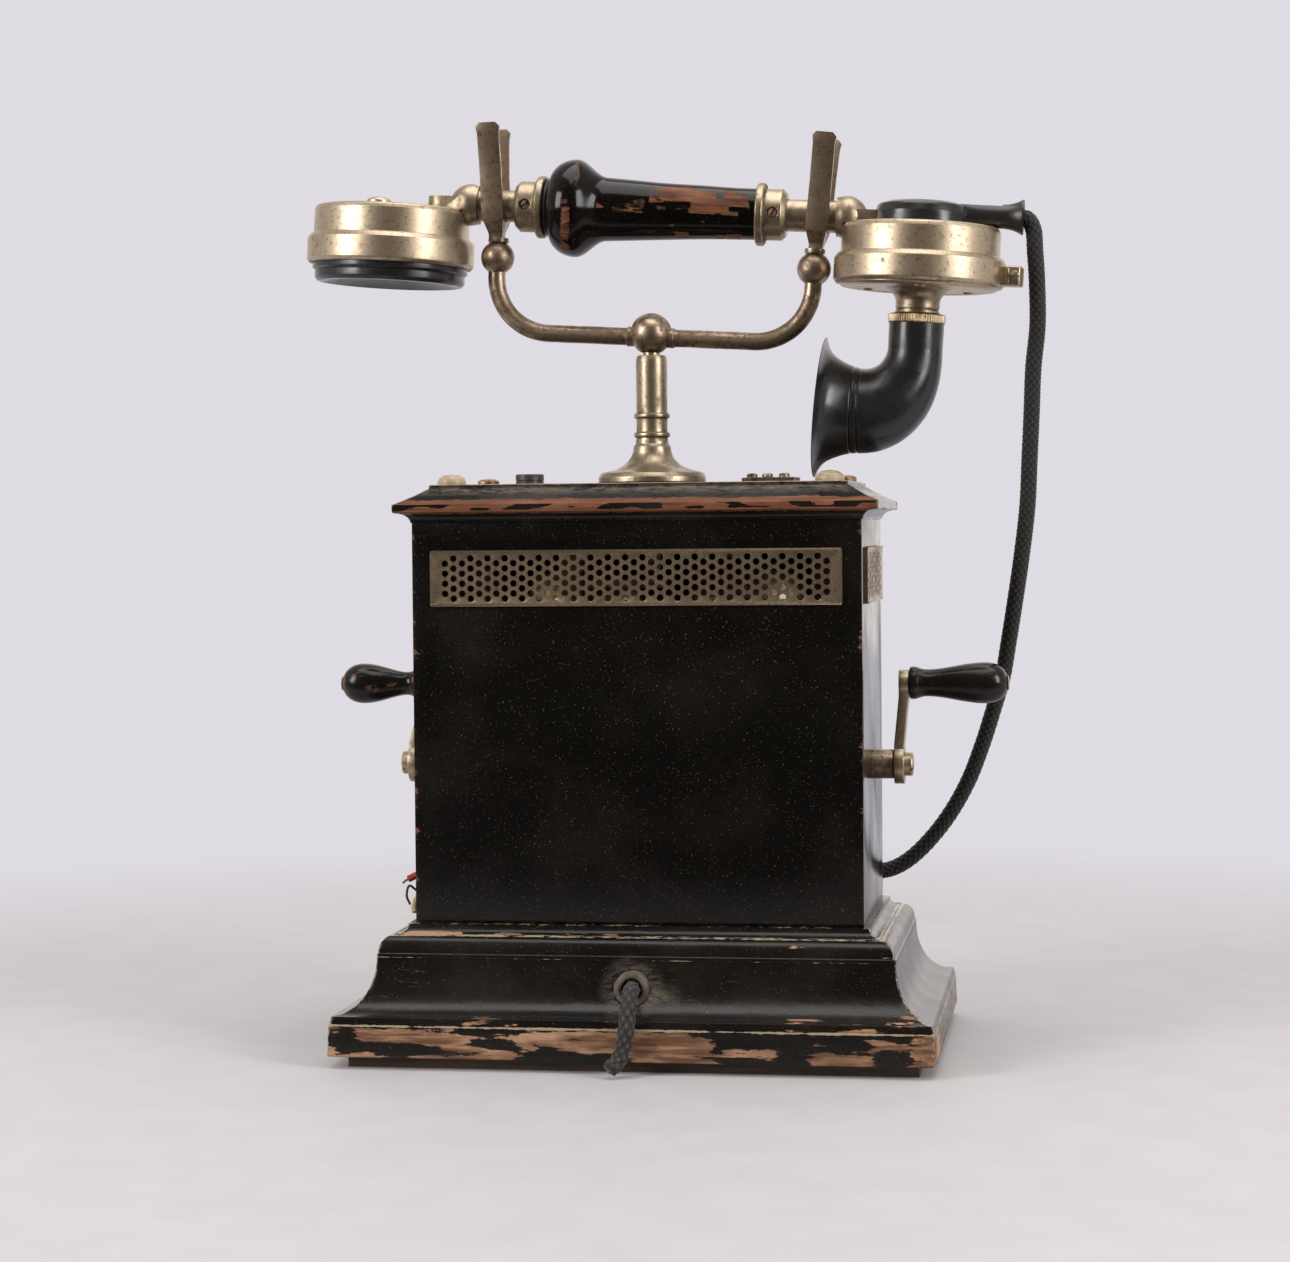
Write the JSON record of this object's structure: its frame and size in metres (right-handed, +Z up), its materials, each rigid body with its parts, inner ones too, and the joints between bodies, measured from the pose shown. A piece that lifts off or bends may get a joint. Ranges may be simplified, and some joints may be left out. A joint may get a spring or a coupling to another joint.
{
  "type": "magneto desk telephone",
  "caption": "Antique magneto desk telephone: moulded wooden case, sprung cradle on a turned post, hand set with a curved mouthpiece horn, side cranks, working generator gearing and ringer.",
  "frame": {"origin": "centre of the base board's underside, on the surface that the telephone stands on", "axes": "+Z up, -Y towards the front grille, +X towards the transmitter and its crank"},
  "size_m": [0.2813, 0.1584, 0.3492],
  "materials": {
    "black_lacquer": "black shellac lacquer over wood, worn to bare wood on the edges",
    "plinth_lacquer": "black lacquer, heavily worn and chipped on the mouldings",
    "bare_wood": "plain unfinished wood, darkened with age",
    "nickel": "old nickel plate, tarnished yellow-brown",
    "grille_nickel": "worn nickel plate, pierced",
    "brass": "aged brass",
    "steel": "turned steel",
    "red_iron": "dark red painted iron",
    "armature_wire": "soft iron with silk-covered copper wire",
    "green_silk": "green silk covering over wire",
    "ivory": "yellowed ivory-coloured caps",
    "ebonite": "polished black ebonite",
    "grip_wood": "dark stained wood, worn to orange-brown",
    "handle_wood": "black lacquered wood, chipped",
    "black_fibre": "black fibre",
    "tinned_iron": "thin tinned iron",
    "black_braid": "black braided cotton",
    "grey_braid": "faded dark grey braided cotton",
    "wire_cotton": "cotton-covered wire ends, red, black and cream"
  },
  "bodies": {
    "case": {"base_board": "bare_wood", "bottom_screws": "steel", "plinth": "plinth_lacquer", "plinth_cap": "plinth_lacquer", "front_panel": "black_lacquer", "back_panel": "black_lacquer", "left_side": "black_lacquer", "right_side": "black_lacquer", "corner_posts": "bare_wood", "deck": "bare_wood", "lid": "black_lacquer", "ivory_domes": "ivory", "lid_screws": "nickel", "front_grille": "grille_nickel", "side_grilles": "grille_nickel", "cord_bushings": "ebonite", "arrester_plate": "nickel", "post_sleeve": "nickel", "shaft_bushes": "nickel", "generator_frame": "brass", "magnets": "red_iron", "ringer_frame": "brass", "ringer_coils": "green_silk", "gongs": "brass", "induction_coil": "green_silk", "switch_frame": "brass", "contact_springs": "brass", "line_cord": "grey_braid", "wire_ends": "wire_cotton"},
    "cradle": {"plunger": "nickel", "cradle_bow": "nickel", "forks": "nickel"},
    "hook_lever": {"hook_lever": "brass"},
    "crank": {"crank_shaft": "steel", "crank_gear": "brass", "crank_arms": "nickel", "crank_pins": "nickel"},
    "left_handle": {"left_handle": "handle_wood"},
    "right_handle": {"right_handle": "handle_wood"},
    "armature": {"armature": "armature_wire"},
    "push_button": {"push_button": "ebonite"},
    "clapper": {"clapper": "steel"},
    "handset": {"grip": "grip_wood", "handset_tube": "nickel", "ferrules": "nickel", "grip_washer": "black_fibre", "elbows": "nickel", "receiver_cup": "nickel", "receiver_ring": "nickel", "earpiece": "ebonite", "receiver_diaphragm": "tinned_iron", "receiver_magnet": "red_iron", "transmitter_cup": "nickel", "transmitter_ring": "nickel", "carbon_capsule": "nickel", "transmitter_cap": "ebonite", "mouthpiece_neck": "nickel", "handset_cord": "black_braid"},
    "mouthpiece": {"knurled_ring": "brass", "horn": "ebonite"}
  },
  "joints": [
    {"name": "handset_lift", "type": "slide", "parent": "case", "child": "handset", "axis": [0.075, 0, 0.9972], "range_m": [0, 0.045], "deforming": ["handset_cord"]},
    {"name": "cradle_rise", "type": "slide", "parent": "case", "child": "cradle", "axis": [0, 0, 1], "range_m": [0, 0.006]},
    {"name": "hook_swing", "type": "hinge", "parent": "case", "child": "hook_lever", "pos_m": [-0.03, 0, 0.1744], "axis": [0, -1, 0], "range_deg": [0, 11.46]},
    {"name": "crank_turn", "type": "hinge", "parent": "case", "child": "crank", "pos_m": [0, 0, 0.106], "axis": [1, 0, 0], "continuous": true},
    {"name": "left_handle_spin", "type": "hinge", "parent": "crank", "child": "left_handle", "pos_m": [-0.1051, 0, 0.1365], "axis": [1, 0, 0], "continuous": true},
    {"name": "right_handle_spin", "type": "hinge", "parent": "crank", "child": "right_handle", "pos_m": [0.1118, 0, 0.1365], "axis": [1, 0, 0], "continuous": true},
    {"name": "armature_spin", "type": "hinge", "parent": "case", "child": "armature", "pos_m": [0, 0, 0.0736], "axis": [1, 0, 0], "continuous": true},
    {"name": "button_press", "type": "slide", "parent": "case", "child": "push_button", "axis": [0, 0, -1], "range_m": [0, 0.0025], "stiffness_N_per_m": 200, "springref_m": -0.001},
    {"name": "clapper_swing", "type": "hinge", "parent": "case", "child": "clapper", "pos_m": [0, 0.0306, 0.1402], "axis": [0, 1, 0], "range_deg": [-4, 4], "stiffness_Nm_per_rad": 0.02},
    {"name": "horn_turn", "type": "hinge", "parent": "handset", "child": "mouthpiece", "pos_m": [0.10037, 0, 0.27082], "axis": [0.0576, 0, 0.9983], "range_deg": [-12, 12]}
  ],
  "couplings": [
    {"joint": "cradle_rise", "follows": "handset_lift", "ratio": 0.13333},
    {"joint": "hook_swing", "follows": "handset_lift", "rad_per_m": 4.4444},
    {"joint": "armature_spin", "follows": "crank_turn", "ratio": -5}
  ]
}
